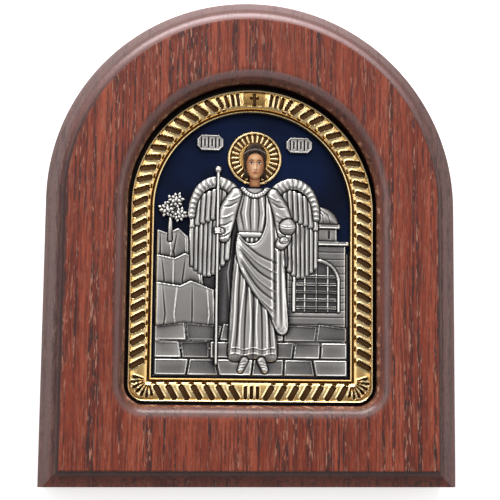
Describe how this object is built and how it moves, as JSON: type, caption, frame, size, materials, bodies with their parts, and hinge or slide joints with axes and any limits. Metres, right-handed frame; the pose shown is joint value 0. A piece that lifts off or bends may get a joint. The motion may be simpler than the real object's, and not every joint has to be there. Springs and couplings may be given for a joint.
{
  "type": "icon panel",
  "caption": "Small arched wooden panel with a moulded edge and a sunk, gilt-framed silver relief of a standing winged figure on a blue ground.",
  "frame": {"origin": "middle of the flat back, on the surface that the panel lies on", "axes": "+X across the panel, +Y from its foot to the top of its arch, +Z out of its face"},
  "size_m": [0.11, 0.13, 0.018],
  "materials": {
    "stained_wood": "red-brown stain under a satin varnish, straight open grain",
    "blue_enamel": "dark blue, satin",
    "gilding": "bright stamped gilding, dark in its slots",
    "oxidised_silver": "stamped silver, blackened in its grooves and rubbed bright on its ridges",
    "painted_enamel": "painted, satin"
  },
  "bodies": {
    "root": {"wood_panel": "stained_wood", "blue_ground": "blue_enamel", "gilt_frame": "gilding", "silver_relief": "oxidised_silver", "gilt_halo": "gilding", "left_title_plate": "oxidised_silver", "right_title_plate": "oxidised_silver", "painted_head": "painted_enamel"}
  },
  "joints": []
}
